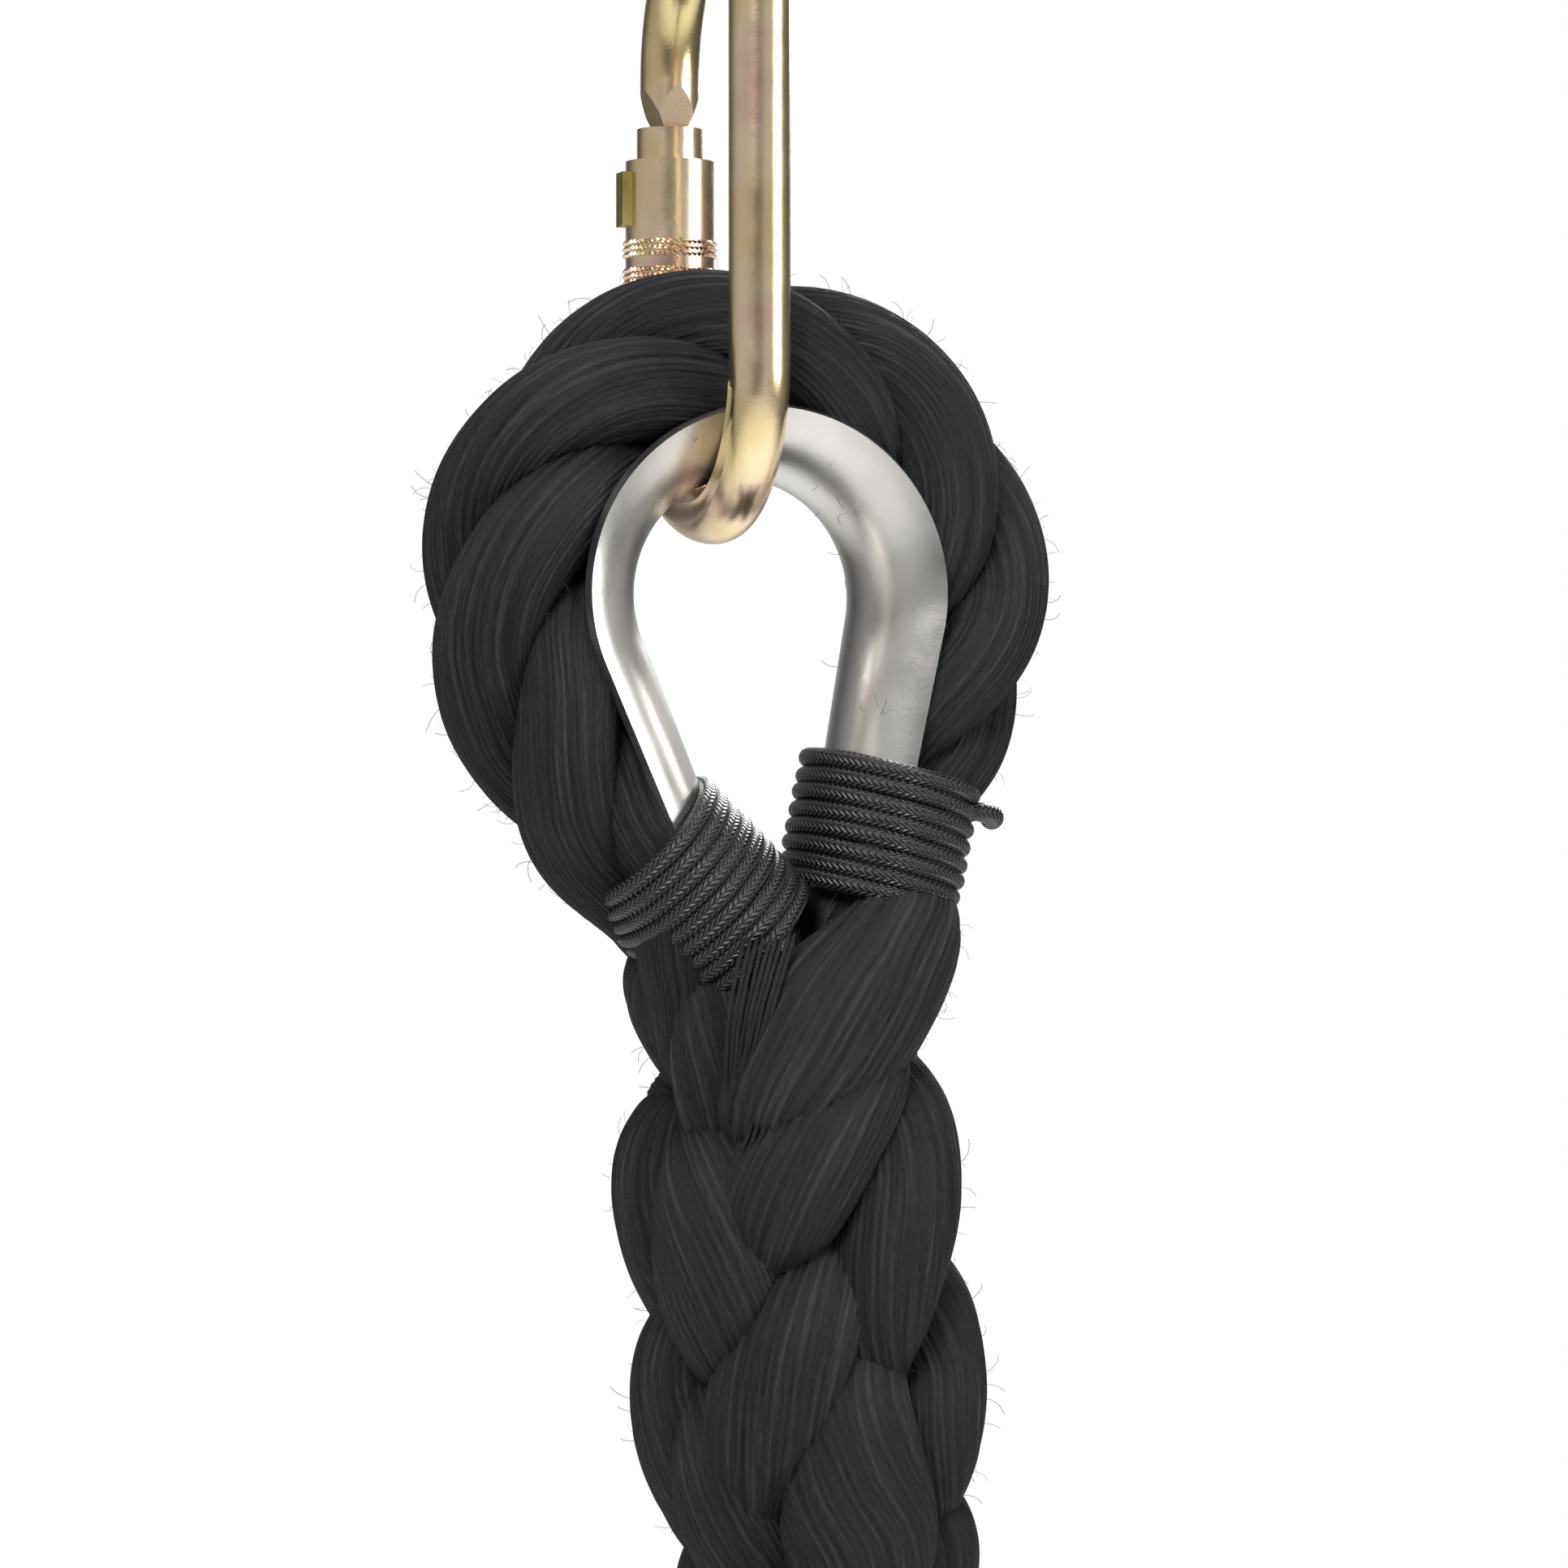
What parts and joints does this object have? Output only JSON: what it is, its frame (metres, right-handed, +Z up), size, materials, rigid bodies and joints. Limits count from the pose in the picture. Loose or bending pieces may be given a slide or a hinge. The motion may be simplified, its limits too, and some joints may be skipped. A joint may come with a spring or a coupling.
{
  "type": "spliced climbing rope end with carabiner",
  "caption": "Thick laid climbing rope with an eye spliced round a gutter thimble, lashed with cord and hung from a locking carabiner; the spare rope is coiled below.",
  "frame": {"origin": "inside surface of the carabiner's upper bow, on the rope's plane, where the anchor bears", "axes": "+Z up against the pull of the rope, +Y from the rope towards the gate, +X across the thimble"},
  "size_m": [0.4557, 0.0814, 0.9306],
  "materials": {
    "yellow_zinc": "forged alloy steel, yellow zinc passivated with an iridescent gold and pink bloom",
    "olive_zinc": "steel, darker olive zinc passivation",
    "steel_pin": "plain bright steel",
    "stainless": "satin stainless steel, lightly pitted",
    "braided_cord": "4 mm braided nylon cord, black, slight sheen",
    "rope": "dyed black cotton and fibre yarn, three-strand laid, matt and fuzzy",
    "tie_webbing": "black woven webbing",
    "heat_shrink": "black heat-shrunk polyolefin"
  },
  "bodies": {
    "carabiner": {"carabiner_body": "yellow_zinc", "gate_hinge_pin": "steel_pin"},
    "gate": {"gate_arm": "yellow_zinc", "gate_latch_pin": "steel_pin", "sleeve_collar": "yellow_zinc", "sleeve_guide_pin": "steel_pin", "sleeve_retaining_ring": "yellow_zinc", "sleeve_spring": "steel_pin", "gate_spring": "steel_pin"},
    "sleeve": {"lock_sleeve": "yellow_zinc", "lock_tab": "olive_zinc"},
    "plunger": {"gate_plunger": "steel_pin"},
    "eye": {"thimble": "stainless", "right_seizing": "braided_cord", "left_seizing": "braided_cord", "right_seizing_end": "braided_cord", "rope_bight": "rope", "rope_leg_right": "rope", "rope_leg_left": "rope", "rope_splice": "rope", "splice_taper": "rope", "rope_fall": "rope", "rope_coil": "rope", "coil_tie_right": "tie_webbing", "coil_tie_bottom": "tie_webbing", "coil_tie_left": "tie_webbing", "rope_end_cap": "heat_shrink"}
  },
  "joints": [
    {"name": "gate_swing", "type": "hinge", "parent": "carabiner", "child": "gate", "pos_m": [0, 0.032, -0.093], "axis": [1, 0, 0], "range_deg": [0, 15], "stiffness_Nm_per_rad": 0.25, "springref_deg": -20.05},
    {"name": "sleeve_twist", "type": "hinge", "parent": "gate", "child": "sleeve", "pos_m": [0, 0.032, -0.0617], "axis": [0, 0, -1], "range_deg": [0, 90], "stiffness_Nm_per_rad": 0.02, "springref_deg": -17.19},
    {"name": "plunger_slide", "type": "slide", "parent": "gate", "child": "plunger", "axis": [0, 0, 1], "range_m": [0, 0.0012], "deforming": ["gate_spring"]},
    {"name": "eye_swing", "type": "hinge", "parent": "carabiner", "child": "eye", "pos_m": [0, 0, -0.114], "axis": [0, 1, 0], "range_deg": [-40, 40]}
  ],
  "couplings": [
    {"joint": "plunger_slide", "follows": "gate_swing", "m_per_rad": 0.0043}
  ]
}
